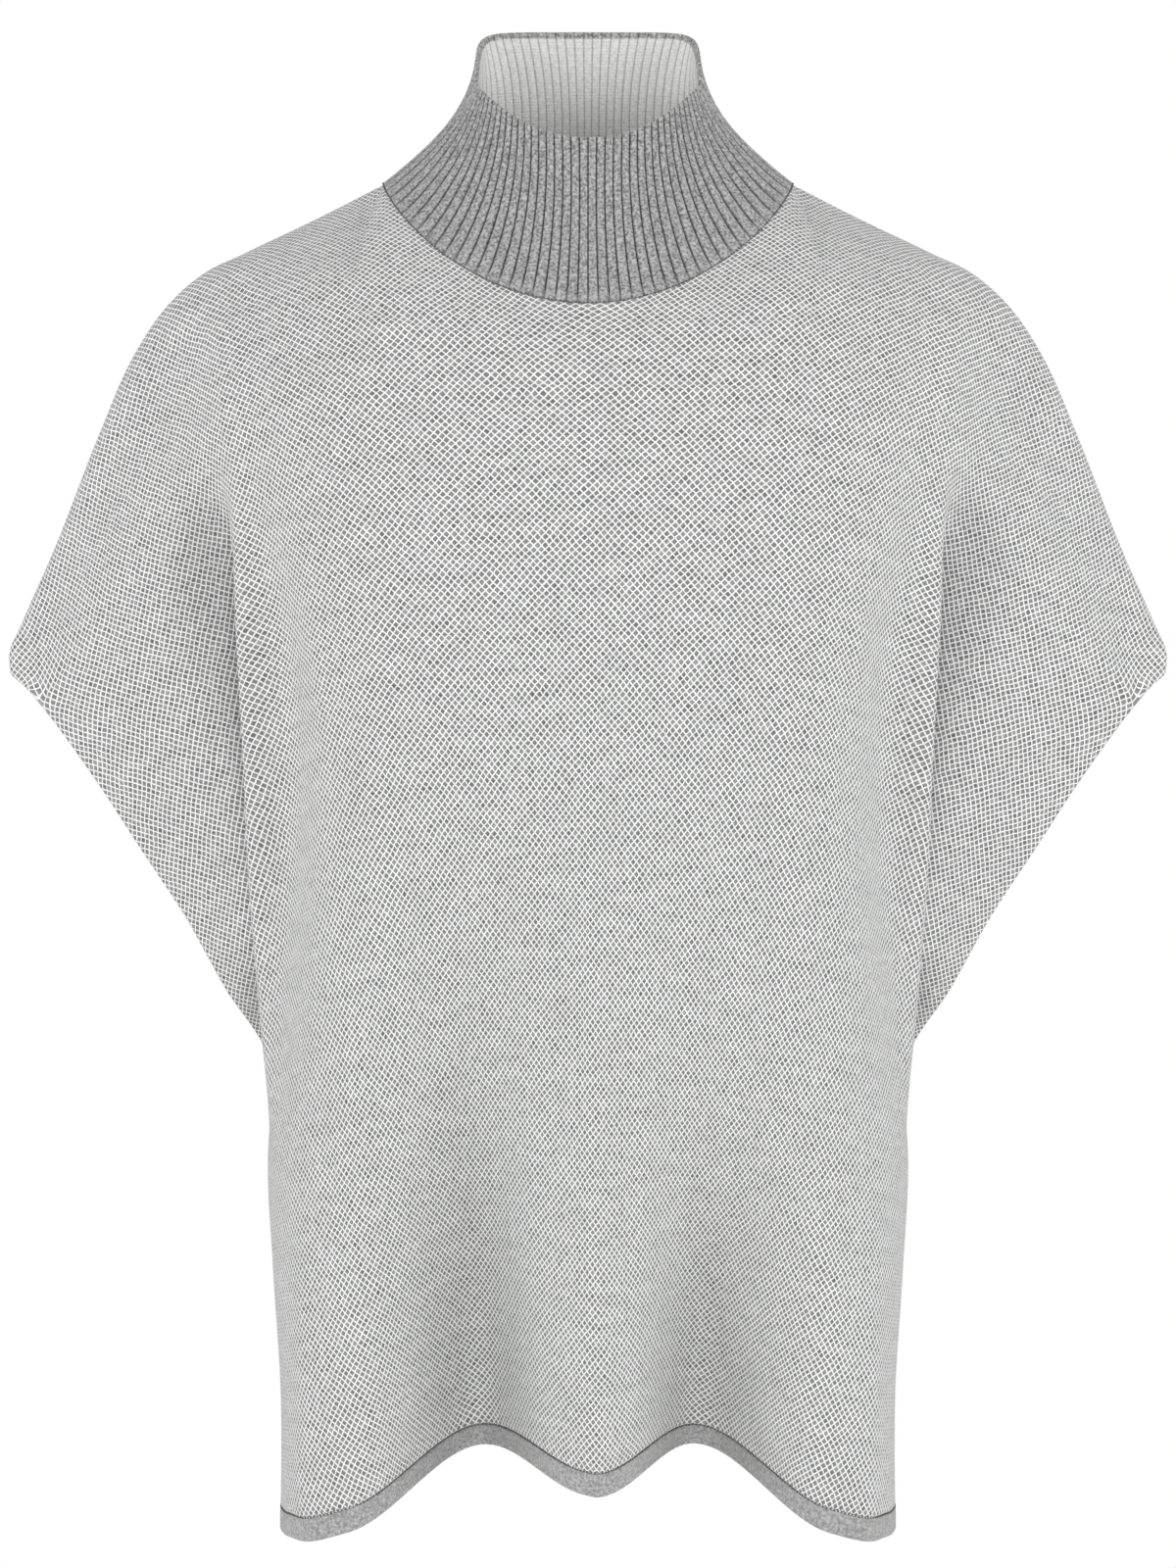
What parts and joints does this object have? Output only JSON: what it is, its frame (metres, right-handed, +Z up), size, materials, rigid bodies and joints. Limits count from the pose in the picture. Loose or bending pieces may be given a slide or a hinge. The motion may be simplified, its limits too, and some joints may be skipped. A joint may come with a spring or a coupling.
{
  "type": "knitted poncho sweater",
  "caption": "Wide knitted poncho sweater with a ribbed funnel collar, open arm wings and a narrow hem band, hollow as worn.",
  "frame": {"origin": "midway between the two points where the collar and the shoulder ridges meet, where the wearer carries the garment", "axes": "+Z up towards the collar, -Y to the garment's front, +X to the right seen from the front"},
  "size_m": [0.624, 0.2343, 0.8098],
  "materials": {
    "birdseye_knit": "two-colour birdseye wool knit, pale grey lozenges in an off-white lattice",
    "rib_knit": "mid-grey marl wool in two-by-two rib",
    "plain_knit": "grey marl wool in fine plain knit"
  },
  "bodies": {
    "root": {"front_panel": "birdseye_knit", "back_panel": "birdseye_knit", "collar": "rib_knit", "hem_band_front": "plain_knit", "hem_band_back": "plain_knit"}
  },
  "joints": []
}
